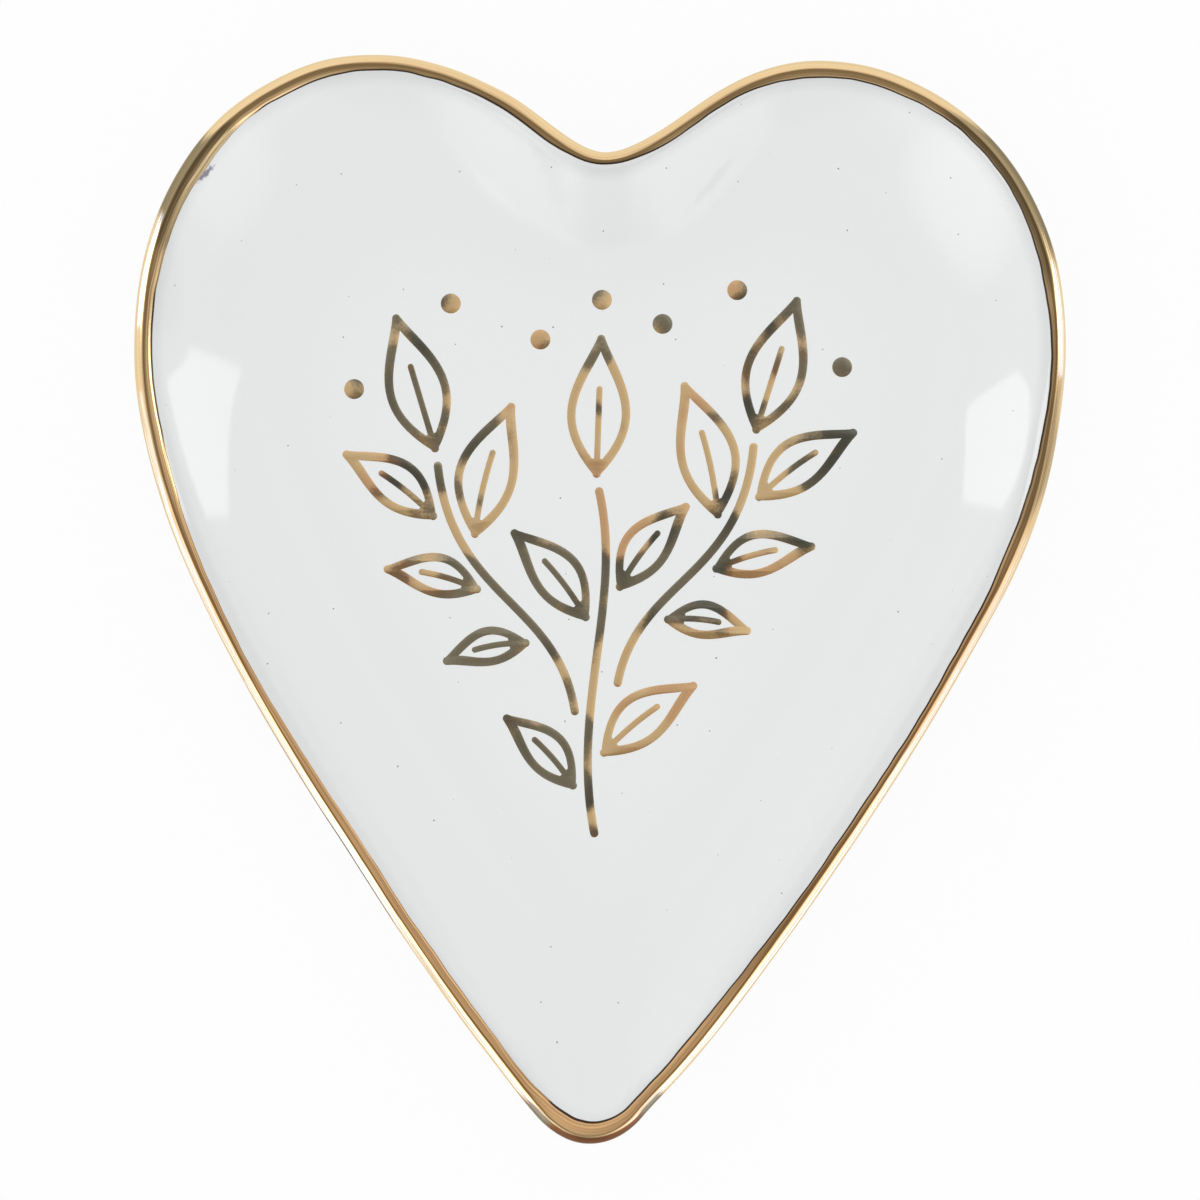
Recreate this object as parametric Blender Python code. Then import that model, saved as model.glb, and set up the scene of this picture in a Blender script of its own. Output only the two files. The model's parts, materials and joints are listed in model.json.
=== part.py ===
"""Heart-shaped trinket dish: glazed ceramic body, bare foot ring, gilt lip and a gilt leaf sprig.

Metres, +Z up. The heart lies in the XY plane with its tip towards -Y, and stands on z = 0.
"""

import math

import bmesh
import bpy
from mathutils import Vector
from mathutils.geometry import interpolate_bezier

# Lip outline, seen from above
DISH_LENGTH = 0.140  # crowns of the lobes to the tip
DISH_WIDTH = 0.120  # across the widest points
CLEFT_DEPTH = 0.0122  # crowns down to the cleft
CROWN_SPACING = 0.0555  # crown to crown
WIDEST_DROP = 0.0394  # crowns down to the widest points
TIP_RADIUS = 0.0088

# Floor of the well, set in from the lip by the sloping wall
WALL_RUN = 0.0225  # plan width of the wall at the sides and crowns
TIP_RUN = 0.036  # plan width of the wall at the tip
FLOOR_CLEFT_DEPTH = 0.0045
FLOOR_CROWN_SPACING = 0.044
FLOOR_WIDEST_DROP = 0.021
FLOOR_TIP_RADIUS = 0.012

# Heights
FOOT_HEIGHT = 0.0020
FLOOR_THICKNESS = 0.0037
WELL_DEPTH = 0.0110  # floor to the top of the lip

# Lip and gilding
LIP_THICKNESS = 0.0027  # over the gilding
GILT_THICKNESS = 0.0003
GILT_INNER_EDGE = math.radians(50)  # angles round the lip, from inward over the top to outward
GILT_OUTER_EDGE = math.radians(215)
FIT_GAP = 0.0003  # between pieces that touch

# Foot ring
FOOT_INSET = 0.0015
FOOT_WIDTH = 0.0030
FOOT_CHAMFER = 0.0005

# Leaf sprig on the floor
SPRIG_MARGIN = 0.0030  # clear of the floor's edge
LINE_WIDTH = 0.0011
VEIN_WIDTH = 0.0008
VEIN_GAP = 0.0003  # bare glaze on each side of the vein where it starts
BERRY_RADIUS = 0.0013
LEAF_GAP = 0.0012  # bare glaze between a leaf and its stem
LEAF_FULLNESS = 0.44  # width to length
LEAF_BASE_FILL = 0.0017  # solid gilding at the leaf's base and at its point
LEAF_POINT_FILL = 0.0022
LEAF_BOW = 0.0008  # rise of the midrib
VEIN_REACH = 0.62  # share of the leaf's length
LEAF_BELLY = 0.85  # below 1 puts the widest place nearer the base
LEAF_TAPER = 1.1  # above 1 draws the ends out finer

# Fullness of the heart's curves: handle length over the span it crosses
CLEFT_PULL = 0.22
CROWN_INNER_PULL = 0.465
CROWN_OUTER_PULL = 0.60
WIDEST_UPPER_PULL = 0.606
WIDEST_LOWER_PULL = 0.29
TIP_PULL = 0.234
TIP_LEAN = math.radians(38.6)  # sides off the vertical where they reach the tip

# Points on each stretch of half the heart, and on the sections
CLEFT_STEPS = 11
LOBE_STEPS = 14
SIDE_STEPS = 11
TIP_STEPS = 5
WALL_STEPS = 7
LIP_STEPS = 7
STEM_STEPS = 14
LEAF_STEPS = 9
CAP_STEPS = 4
BERRY_SIDES = 16
SHARP_EDGE = math.radians(35)

# Sprig layout in shares of its box: across -1 to 1, up 0 to 1. Each stem is a Bezier of four points,
# and each leaf is its place along the stem, the side it grows from and where its tip lies.
SPRIG = {
    "centre": {
        "stem": ((0.00, 0.01), (-0.10, 0.23), (0.10, 0.41), (0.00, 0.60)),
        "leaves": (
            (0.12, 1, (-0.35, 0.21)),
            (0.21, -1, (0.38, 0.27)),
            (0.60, 1, (-0.33, 0.53)),
            (0.70, -1, (0.34, 0.58)),
            (1.0, 0, (0.0, 0.87)),
        ),
    },
    "left": {
        "stem": ((-0.08, 0.22), (-0.15, 0.41), (-0.55, 0.41), (-0.61, 0.64)),
        "leaves": (
            (0.30, 1, (-0.58, 0.30)),
            (0.58, 1, (-0.81, 0.46)),
            (0.86, 1, (-0.97, 0.66)),
            (0.75, -1, (-0.33, 0.75)),
            (1.0, 0, (-0.78, 0.90)),
        ),
    },
    "right": {
        "stem": ((0.08, 0.27), (0.15, 0.45), (0.54, 0.45), (0.58, 0.68)),
        "leaves": (
            (0.30, -1, (0.58, 0.36)),
            (0.58, -1, (0.82, 0.51)),
            (0.86, -1, (0.97, 0.71)),
            (0.75, 1, (0.31, 0.79)),
            (1.0, 0, (0.74, 0.94)),
        ),
    },
}
BERRIES = (
    (0.00, 0.93),
    (-0.23, 0.86),
    (0.23, 0.89),
    (-0.93, 0.77),
    (0.91, 0.82),
    (-0.57, 0.92),
    (0.51, 0.95),
)


def clear_scene():
    for old in list(bpy.data.objects):
        bpy.data.objects.remove(old, do_unlink=True)


def collection(name):
    made = bpy.data.collections.new(name)
    bpy.context.scene.collection.children.link(made)
    return made


def material(name, colour, roughness, metallic):
    made = bpy.data.materials.new(name)
    made.use_nodes = True
    shader = made.node_tree.nodes["Principled BSDF"]
    shader.inputs["Base Color"].default_value = (*colour, 1.0)
    shader.inputs["Roughness"].default_value = roughness
    shader.inputs["Metallic"].default_value = metallic
    return made


def bezier(knot, handle, far_handle, far_knot, steps):
    """Points from one knot to the next, without the last."""
    ends = [Vector(p) for p in (knot, handle, far_handle, far_knot)]
    return interpolate_bezier(*ends, steps + 1)[:-1]


def heart(top, bottom, width, cleft_depth, crown_spacing, widest_drop, tip_radius):
    """Heart outline, anticlockwise from the cleft."""
    side = width / 2
    crown = crown_spacing / 2
    shoulder = side - crown
    cleft = Vector((0, top - cleft_depth))
    lobe = Vector((crown, top))
    widest = Vector((side, top - widest_drop))
    tip_centre = Vector((0, bottom + tip_radius))
    lean = Vector((math.sin(TIP_LEAN), math.cos(TIP_LEAN)))
    tip_start = tip_centre + tip_radius * Vector((math.cos(TIP_LEAN), -math.sin(TIP_LEAN)))
    flank = widest.y - bottom

    right = bezier(
        cleft,
        cleft + Vector((CLEFT_PULL * crown, 0)),
        lobe - Vector((CROWN_INNER_PULL * crown, 0)),
        lobe,
        CLEFT_STEPS,
    )
    right += bezier(
        lobe,
        lobe + Vector((CROWN_OUTER_PULL * shoulder, 0)),
        widest + Vector((0, WIDEST_UPPER_PULL * widest_drop)),
        widest,
        LOBE_STEPS,
    )
    right += bezier(
        widest,
        widest - Vector((0, WIDEST_LOWER_PULL * flank)),
        tip_start + TIP_PULL * flank * lean,
        tip_start,
        SIDE_STEPS,
    )
    for step in range(TIP_STEPS + 1):
        turn = TIP_LEAN + (math.pi / 2 - TIP_LEAN) * step / TIP_STEPS
        right.append(tip_centre + tip_radius * Vector((math.cos(turn), -math.sin(turn))))
    left = [Vector((-p.x, p.y)) for p in right]
    return left + right[-2:0:-1]


def inset(outline, distance):
    """The outline moved inwards along its own normals."""
    moved = []
    for i, here in enumerate(outline):
        before = (here - outline[i - 1]).normalized()
        after = (outline[(i + 1) % len(outline)] - here).normalized()
        along = (before + after).normalized()
        moved.append(here + distance * Vector((-along.y, along.x)))
    return moved


def blend(outer, inner, share):
    return [a.lerp(b, share) for a, b in zip(outer, inner)]


def at_height(outline, z):
    return [Vector((p.x, p.y, z)) for p in outline]


def add_part(name, mesh, parts, finish):
    mesh.materials.append(finish)
    made = bpy.data.objects.new(name, mesh)
    parts.objects.link(made)
    return made


def loft(name, rings, closed, parts, finish):
    """Skin through rings of matching points: capped at both ends, or closed into a band."""
    bm = bmesh.new()
    loops = [[bm.verts.new(p) for p in ring] for ring in rings]
    follows = loops[1:] + loops[:1] if closed else loops[1:]
    for lower, upper in zip(loops, follows):
        for i in range(len(lower)):
            j = (i + 1) % len(lower)
            bm.faces.new((lower[i], lower[j], upper[j], upper[i]))
    if not closed:
        bm.faces.new(loops[0][::-1])
        bm.faces.new(loops[-1])
    bmesh.ops.recalc_face_normals(bm, faces=bm.faces)
    mesh = bpy.data.meshes.new(name)
    bm.to_mesh(mesh)
    bm.free()
    mesh.shade_smooth()
    mesh.set_sharp_from_angle(angle=SHARP_EDGE)
    return add_part(name, mesh, parts, finish)


# Outlines and heights that the pieces share
TOP = DISH_LENGTH / 2
LIP_OUTLINE = heart(TOP, -TOP, DISH_WIDTH, CLEFT_DEPTH, CROWN_SPACING, WIDEST_DROP, TIP_RADIUS)
FLOOR_TOP = TOP - WALL_RUN
FLOOR_BOTTOM = TIP_RUN - TOP
FLOOR_WIDTH = DISH_WIDTH - 2 * WALL_RUN
FLOOR_OUTLINE = heart(
    FLOOR_TOP,
    FLOOR_BOTTOM,
    FLOOR_WIDTH,
    FLOOR_CLEFT_DEPTH,
    FLOOR_CROWN_SPACING,
    FLOOR_WIDEST_DROP,
    FLOOR_TIP_RADIUS,
)
BASE_Z = FOOT_HEIGHT + FIT_GAP
FLOOR_Z = BASE_Z + FLOOR_THICKNESS
LIP_Z = FLOOR_Z + WELL_DEPTH
LIP_RADIUS = LIP_THICKNESS / 2
CORE_RADIUS = LIP_RADIUS - GILT_THICKNESS - FIT_GAP


def lip_ring(angle, radius):
    """Ring round the lip's bead, at an angle from straight inwards over the top."""
    plan = inset(LIP_OUTLINE, LIP_RADIUS + radius * math.cos(angle))
    return at_height(plan, LIP_Z - LIP_RADIUS + radius * math.sin(angle))


def lip_arc(first, last, radius):
    turns = [first + (last - first) * i / LIP_STEPS for i in range(LIP_STEPS + 1)]
    return [lip_ring(turn, radius) for turn in turns]


def wall_rings(rim, foot_outline, foot_z):
    """Rings from the floor or base out to the rim, rising on a parabola."""
    rim_plan = [p.xy for p in rim]
    rise = rim[0].z - foot_z
    rings = []
    for step in range(WALL_STEPS):
        out = step / WALL_STEPS
        rings.append(at_height(blend(foot_outline, rim_plan, out), foot_z + rise * out**2))
    return rings


def ceramic_body(parts, finish):
    """One skin: base, outer wall, lip core, inner wall, floor."""
    inner_rim = lip_ring(GILT_INNER_EDGE, LIP_RADIUS)
    outer_rim = lip_ring(GILT_OUTER_EDGE, LIP_RADIUS)
    rings = wall_rings(outer_rim, FLOOR_OUTLINE, BASE_Z) + [outer_rim]
    rings += lip_arc(GILT_OUTER_EDGE, GILT_INNER_EDGE, CORE_RADIUS)
    rings += [inner_rim] + wall_rings(inner_rim, FLOOR_OUTLINE, FLOOR_Z)[::-1]
    return loft("ceramic_body", rings, False, parts, finish)


def gilt_lip(parts, finish):
    """Thin gilding over the lip core, clear of the two shoulders it ends at."""
    clear = FIT_GAP / (LIP_RADIUS - GILT_THICKNESS)
    first = GILT_OUTER_EDGE - clear
    last = GILT_INNER_EDGE + clear
    rings = lip_arc(first, last, LIP_RADIUS)
    rings += lip_arc(last, first, LIP_RADIUS - GILT_THICKNESS)
    return loft("gilt_lip", rings, True, parts, finish)


def foot_ring(parts, finish):
    outer = inset(FLOOR_OUTLINE, FOOT_INSET)
    inner = inset(FLOOR_OUTLINE, FOOT_INSET + FOOT_WIDTH)
    tread_outer = inset(FLOOR_OUTLINE, FOOT_INSET + FOOT_CHAMFER)
    tread_inner = inset(FLOOR_OUTLINE, FOOT_INSET + FOOT_WIDTH - FOOT_CHAMFER)
    rings = [
        at_height(outer, FOOT_HEIGHT),
        at_height(outer, FOOT_CHAMFER),
        at_height(tread_outer, 0),
        at_height(tread_inner, 0),
        at_height(inner, FOOT_CHAMFER),
        at_height(inner, FOOT_HEIGHT),
    ]
    return loft("foot_ring", rings, True, parts, finish)


def sprig_point(share):
    """A place in the sprig's box, on the floor."""
    half_width = FLOOR_WIDTH / 2 - SPRIG_MARGIN
    bottom = FLOOR_BOTTOM + SPRIG_MARGIN
    height = FLOOR_TOP - SPRIG_MARGIN - bottom
    return Vector((share[0] * half_width, bottom + share[1] * height))


def gilt_flat(name, outlines, parts, finish):
    """Flat gilding on the floor: the first outline filled, any others left bare."""
    curve = bpy.data.curves.new(name, "CURVE")
    curve.dimensions = "2D"
    curve.fill_mode = "BOTH"
    curve.extrude = GILT_THICKNESS / 2
    for outline in outlines:
        spline = curve.splines.new("POLY")
        spline.points.add(len(outline) - 1)
        spline.use_cyclic_u = True
        for point, place in zip(spline.points, outline):
            point.co = (place.x, place.y, 0, 1)
    made = add_part(name, curve, parts, finish)
    made.location.z = FLOOR_Z + FIT_GAP + GILT_THICKNESS / 2
    return made


def half_round(centre, towards, radius):
    """Points of a round end, from the right of a direction round to its left."""
    turns = [math.pi * (i / CAP_STEPS - 0.5) for i in range(CAP_STEPS + 1)]
    across = Vector((-towards.y, towards.x))
    return [centre + radius * (math.cos(t) * towards + math.sin(t) * across) for t in turns]


def stem(name, path, parts, finish):
    """A line of even width with round ends."""
    half = LINE_WIDTH / 2
    first = (path[1] - path[0]).normalized()
    last = (path[-1] - path[-2]).normalized()
    left = []
    right = []
    for before, here, after in zip(path, path[1:], path[2:]):
        along = (after - before).normalized()
        across = Vector((-along.y, along.x))
        left.append(here + half * across)
        right.append(here - half * across)
    outline = right + half_round(path[-1], last, half) + left[::-1] + half_round(path[0], -first, half)
    return gilt_flat(name, [outline], parts, finish)


def leaf(name, base, tip, bow, parts, finish):
    """A pointed leaf drawn in line, with a vein part of the way up its bowed midrib."""
    reach = (tip - base).length
    along = (tip - base) / reach
    across = Vector((-along.y, along.x))
    width = LEAF_FULLNESS * reach
    half = LINE_WIDTH / 2

    def place(up, out):
        share = up / reach
        return base + up * along + (out + bow * (1 - (2 * share - 1) ** 2)) * across

    def bulge(share):
        return math.sin(math.pi * share**LEAF_BELLY) ** LEAF_TAPER

    def share_at(height):
        """Where the bulge first reaches a height."""
        return (math.asin(height ** (1 / LEAF_TAPER)) / math.pi) ** (1 / LEAF_BELLY)

    shares = [i / LEAF_STEPS for i in range(1, LEAF_STEPS)]
    drawn = reach - LINE_WIDTH
    edge = [(half + share * drawn, half + (width / 2 - half) * bulge(share)) for share in shares]
    outline = [place(up, -out) for up, out in edge]
    outline += half_round(place(reach - half, 0), along, half)
    outline += [place(up, out) for up, out in reversed(edge)]
    outline += half_round(place(half, 0), -along, half)

    inner = reach - LEAF_BASE_FILL - LEAF_POINT_FILL
    half_bare = width / 2 - LINE_WIDTH
    first = share_at((VEIN_WIDTH / 2 + VEIN_GAP) / half_bare)
    bare = []
    for i in range(LEAF_STEPS):
        share = first + (1 - first) * i / LEAF_STEPS
        bare.append((LEAF_BASE_FILL + share * inner, half_bare * bulge(share)))
    vein_base = bare[0][0]
    vein_end = VEIN_REACH * reach
    vein_middle = (vein_base + vein_end) / 2
    hole = [place(up, -out) for up, out in bare]
    hole += [place(reach - LEAF_POINT_FILL, 0)]
    hole += [place(up, out) for up, out in reversed(bare)]
    hole += [place(vein_base, VEIN_WIDTH / 2), place(vein_middle, VEIN_WIDTH / 2)]
    hole += half_round(place(vein_end, 0), along, VEIN_WIDTH / 2)[::-1]
    hole += [place(vein_middle, -VEIN_WIDTH / 2), place(vein_base, -VEIN_WIDTH / 2)]
    return gilt_flat(name, [outline, hole], parts, finish)


def leaf_base(path, share, side):
    """Where a leaf starts: beside the stem, or past its end for side 0."""
    where = share * (len(path) - 1)
    step = min(int(where), len(path) - 2)
    along = (path[step + 1] - path[step]).normalized()
    on_stem = path[step].lerp(path[step + 1], where - step)
    if side == 0:
        return on_stem + (LINE_WIDTH / 2 + LEAF_GAP) * along
    return on_stem + side * (LINE_WIDTH / 2 + LEAF_GAP) * Vector((-along.y, along.x))


def sprig(parts, finish):
    for branch, drawn in SPRIG.items():
        ends = [sprig_point(share) for share in drawn["stem"]]
        path = interpolate_bezier(*ends, STEM_STEPS)
        stem(f"{branch}_stem", path, parts, finish)
        for number, (share, side, tip) in enumerate(drawn["leaves"], 1):
            base = leaf_base(path, share, side)
            leaf(f"{branch}_leaf_{number}", base, sprig_point(tip), -side * LEAF_BOW, parts, finish)


def berries(parts, finish):
    for number, share in enumerate(BERRIES, 1):
        centre = sprig_point(share)
        turns = [2 * math.pi * i / BERRY_SIDES for i in range(BERRY_SIDES)]
        outline = [centre + BERRY_RADIUS * Vector((math.cos(t), math.sin(t))) for t in turns]
        gilt_flat(f"berry_{number}", [outline], parts, finish)


def main():
    clear_scene()
    parts = collection("heart_trinket_dish")
    glaze = material("white_glaze", (0.80, 0.81, 0.80), 0.08, 0.0)
    biscuit = material("bare_ceramic", (0.78, 0.74, 0.68), 0.75, 0.0)
    gold = material("gold_lustre", (0.60, 0.42, 0.17), 0.18, 1.0)
    ceramic_body(parts, glaze)
    foot_ring(parts, biscuit)
    gilt_lip(parts, gold)
    sprig(parts, gold)
    berries(parts, gold)


main()
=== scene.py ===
import json
import math

import bpy
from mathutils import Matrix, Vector, noise
from mathutils.geometry import interpolate_bezier

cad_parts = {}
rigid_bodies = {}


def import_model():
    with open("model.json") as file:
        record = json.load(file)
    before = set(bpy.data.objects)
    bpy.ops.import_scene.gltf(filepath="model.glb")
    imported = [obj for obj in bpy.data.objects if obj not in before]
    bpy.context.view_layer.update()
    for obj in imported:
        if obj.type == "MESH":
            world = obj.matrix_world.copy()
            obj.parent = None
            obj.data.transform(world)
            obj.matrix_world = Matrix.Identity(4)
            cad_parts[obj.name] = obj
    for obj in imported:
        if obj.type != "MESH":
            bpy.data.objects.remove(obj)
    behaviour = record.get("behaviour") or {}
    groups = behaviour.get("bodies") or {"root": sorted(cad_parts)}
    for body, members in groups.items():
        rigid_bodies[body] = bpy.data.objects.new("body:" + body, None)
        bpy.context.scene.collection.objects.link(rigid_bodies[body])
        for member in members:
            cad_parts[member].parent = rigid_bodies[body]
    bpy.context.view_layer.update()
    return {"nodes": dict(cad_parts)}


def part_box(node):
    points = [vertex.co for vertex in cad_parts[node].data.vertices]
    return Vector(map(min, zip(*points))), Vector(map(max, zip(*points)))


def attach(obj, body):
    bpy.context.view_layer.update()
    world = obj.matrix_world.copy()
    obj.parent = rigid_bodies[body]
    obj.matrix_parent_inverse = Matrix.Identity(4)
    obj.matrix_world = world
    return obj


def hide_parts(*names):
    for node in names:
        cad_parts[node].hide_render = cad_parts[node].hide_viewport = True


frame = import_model()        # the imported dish, in metres
print("frame loaded:", len(frame["nodes"]), "nodes")


# Shader maths: a socket that can be added, multiplied and so on
class Wire:
    def __init__(self, tree, socket=None):
        self.tree = tree
        self.socket = socket

    def node(self, kind, settings, values, output=0):
        made = self.tree.nodes.new(kind)
        for name, value in settings.items():
            setattr(made, name, value)
        for key, value in values.items():
            if isinstance(value, Wire):
                self.tree.links.new(value.socket, made.inputs[key])
            else:
                made.inputs[key].default_value = value
        return Wire(self.tree, made.outputs[output])

    def maths(self, operation, first, second):
        return self.node("ShaderNodeMath", {"operation": operation}, {0: first, 1: second})

    def __add__(self, other):
        return self.maths("ADD", self, other)

    def __radd__(self, other):
        return self.maths("ADD", other, self)

    def __sub__(self, other):
        return self.maths("SUBTRACT", self, other)

    def __rsub__(self, other):
        return self.maths("SUBTRACT", other, self)

    def __mul__(self, other):
        return self.maths("MULTIPLY", self, other)

    def __rmul__(self, other):
        return self.maths("MULTIPLY", other, self)

    def __lt__(self, other):
        return self.maths("LESS_THAN", self, other)

    def ease(self, low, high, fromValue=0.0, toValue=1.0):     # smooth step between two values
        return self.node(
            "ShaderNodeMapRange",
            {"interpolation_type": "SMOOTHSTEP"},
            {0: self, 1: low, 2: high, 3: fromValue, 4: toValue},
        )

    def grain(self, scale, detail=2.0, rough=0.5):             # noise on this vector, 0 to 1
        values = {"Vector": self, "Scale": scale, "Detail": detail, "Roughness": rough}
        return self.node("ShaderNodeTexNoise", {}, values)

    def between(self, first, second):                          # the colour this share of the way
        values = {0: self, 6: first, 7: second}
        return self.node("ShaderNodeMix", {"data_type": "RGBA"}, values, 2)

    def tint(self, other, share):                              # mix from this colour to another
        return share.between(self, other)


def colour(red, green, blue):
    return (red, green, blue, 1.0)


def newFinish(name):
    finish = bpy.data.materials.new(name)
    finish.use_nodes = True
    shader = finish.node_tree.nodes["Principled BSDF"]
    return finish, Wire(finish.node_tree), shader


def feed(wire, shader, name):
    shader.id_data.links.new(wire.socket, shader.inputs[name])


def feedBump(height, shader, strength, depth):
    values = {"Strength": strength, "Distance": depth, "Height": height}
    feed(height.node("ShaderNodeBump", {}, values), shader, "Normal")


# White glaze: clear gloss over white clay, with pinholes, one smear of thin lustre, and painted shade
# just under the lip
whiteGlaze = {
    "white": colour(0.880, 0.900, 0.893),
    "shade": colour(0.857, 0.880, 0.878),
    "cloudScale": 26.0,
    "rimShade": colour(0.770, 0.785, 0.785),       # painted shade: the glaze darker just under the lip
    "rimShadeFrom": (0.0148, 0.0166),              # heights where that starts, and is full
    "speck": colour(0.16, 0.14, 0.12),
    "speckCells": 140.0,                       # cells a metre, one speck at most in each
    "speckShare": 0.50,
    "speckSize": 0.0095,                       # of a cell
    "smear": colour(0.10, 0.085, 0.16),
    "smearPlace": (-0.0513, 0.0543, 0.0),
    "smearSize": (0.00165, 0.00042, 1.0),
    "smearLean": math.radians(48),
    "smearFrom": (0.0135, 0.0145),             # heights, so that it shows only inside the well
    "smearScale": 1900.0,
    "smearRagged": 1.5,
    "gloss": 0.035,                            # roughness where it is best
    "dull": 0.05,                              # and how much more where it is worst
    "dullScale": 70.0,
    "rippleScale": 55.0,
    "fineScale": 520.0,
    "fineShare": 0.06,
    "rippleStrength": 0.25,
    "rippleDepth": 0.0002,
    "ior": 1.52,
}


def makeGlaze(g):
    finish, wire, shader = newFinish("whiteGlaze")
    place = wire.node("ShaderNodeTexCoord", {}, {}, "Object")
    body = place.grain(g["cloudScale"], 3.0).between(g["shade"], g["white"])

    cells = {"Vector": place, "Scale": g["speckCells"], "Randomness": 1.0}
    flat = {"voronoi_dimensions": "2D"}
    distance = wire.node("ShaderNodeTexVoronoi", flat, cells, "Distance")
    chance = wire.node("ShaderNodeTexVoronoi", flat, cells, "Color")
    lot = wire.node("ShaderNodeSeparateColor", {}, {0: chance}, 0)
    size = wire.node("ShaderNodeSeparateColor", {}, {0: chance}, 1)
    reach = g["speckSize"] * (0.55 + size)
    speck = (lot < g["speckShare"]) * (distance < reach) * size.ease(0.0, 0.8, 0.35, 0.95)
    body = body.tint(g["speck"], speck)
    height = wire.node("ShaderNodeSeparateXYZ", {}, {0: place}, 2)
    # painted shade: darker glaze towards the top of the lip
    body = body.tint(g["rimShade"], height.ease(*g["rimShadeFrom"]))

    where = {
        "Vector": place,
        "Location": g["smearPlace"],
        "Rotation": (0, 0, g["smearLean"]),
        "Scale": g["smearSize"],
    }
    local = wire.node("ShaderNodeMapping", {"vector_type": "TEXTURE"}, where)
    spread = wire.node("ShaderNodeVectorMath", {"operation": "LENGTH"}, {0: local}, "Value")
    ragged = spread + g["smearRagged"] * (place.grain(g["smearScale"], 3.0) - 0.5)
    smear = ragged.ease(0.35, 1.15, 0.85, 0.0) * height.ease(*g["smearFrom"])
    feed(body.tint(g["smear"], smear), shader, "Base Color")

    feed(g["gloss"] + g["dull"] * place.grain(g["dullScale"]), shader, "Roughness")
    ripple = place.grain(g["rippleScale"]) + g["fineShare"] * place.grain(g["fineScale"])
    feedBump(ripple, shader, g["rippleStrength"], g["rippleDepth"])
    shader.inputs["IOR"].default_value = g["ior"]
    return finish


# Bare clay of the foot ring: matt, with fine grain and rubbed places
bareClay = {
    "clay": colour(0.78, 0.74, 0.68),
    "rubbed": colour(0.60, 0.55, 0.48),
    "gritScale": 2600.0,
    "rubScale": 120.0,
    "roughness": 0.62,
    "gritRoughness": 0.25,
    "gritStrength": 0.5,
    "gritDepth": 0.00008,
}


def makeClay(c):
    finish, wire, shader = newFinish("bareClay")
    place = wire.node("ShaderNodeTexCoord", {}, {}, "Object")
    grit = place.grain(c["gritScale"], 4.0)
    rub = place.grain(c["rubScale"], 3.0).ease(0.45, 0.75)
    worn = rub * 0.5 + grit * 0.35
    feed(worn.between(c["clay"], c["rubbed"]), shader, "Base Color")
    feed(c["roughness"] + c["gritRoughness"] * grit, shader, "Roughness")
    feedBump(grit, shader, c["gritStrength"], c["gritDepth"])
    return finish


# Gold lustre on the lip, brushed on by hand: bristle lines, a coppery inner half, dark edges,
# and dark reflections painted in olive and dark copper. Shares of its width run from the outer edge
# to the inner
lipGold = {
    "gold": colour(0.84, 0.63, 0.35),
    "copper": colour(0.76, 0.46, 0.22),
    "brown": colour(0.22, 0.135, 0.065),
    "dark": colour(0.035, 0.025, 0.02),
    # olive: a painted dark reflection colour
    "oliveReflection": colour(0.24, 0.19, 0.105),
    # copper-toned painted dark reflection for the tip
    "darkCopperReflection": colour(0.17, 0.055, 0.020),
    "bristles": (13.0, 18.0),          # change across its width, and along it by the metre
    "fineBristles": (30.0, 32.0),
    "blotScale": 30.0,
    "innerFrom": (0.42, 0.62),         # shares of the width where the inner half starts, and is full
    "linesFrom": (0.55, 0.90),         # the same for brown lines
    "linesShare": (0.14, 0.86),
    "innerDark": (0.90, 0.925),
    "outerDark": (0.07, 0.10),
    "copperFrom": (0.035, -0.015),     # y where the inner half starts to go coppery, and is fully so
    "palerFrom": (0.030, 0.055),       # y where the lines start to go paler, and are fully so
    "roughDarkTipFrom": (-0.0625, -0.0660),   # y where the tip starts, and is full: rougher there, with a copper-toned painted dark reflection on its outer half
    # painted dark reflections, in olive: place, full within, gone beyond, share
    "darkReflectionPlaces": (
        ((-0.0548, 0.0541, 0.0165), 0.0045, 0.0070, 0.92),
        ((0.0542, 0.0544, 0.0165), 0.0070, 0.0120, 0.98),
        ((0.0583, 0.0186, 0.0165), 0.0020, 0.0070, 0.40),
    ),
    # the same painted dark reflections, on the outer half alone, beside the tip
    "tipReflectionPlaces": (
        ((-0.0066, -0.0662, 0.0165), 0.0012, 0.0026, 0.92),
        ((0.0080, -0.0647, 0.0165), 0.0012, 0.0026, 0.92),
    ),
    "roughness": 0.07,                 # and what the inner half, the bristles and the tip add to it
    "innerRoughness": 0.05,
    "bristleRoughness": 0.07,
    "tipRoughness": 0.18,
    "brushStrength": 0.5,
    "brushDepth": 0.00006,
}


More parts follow.
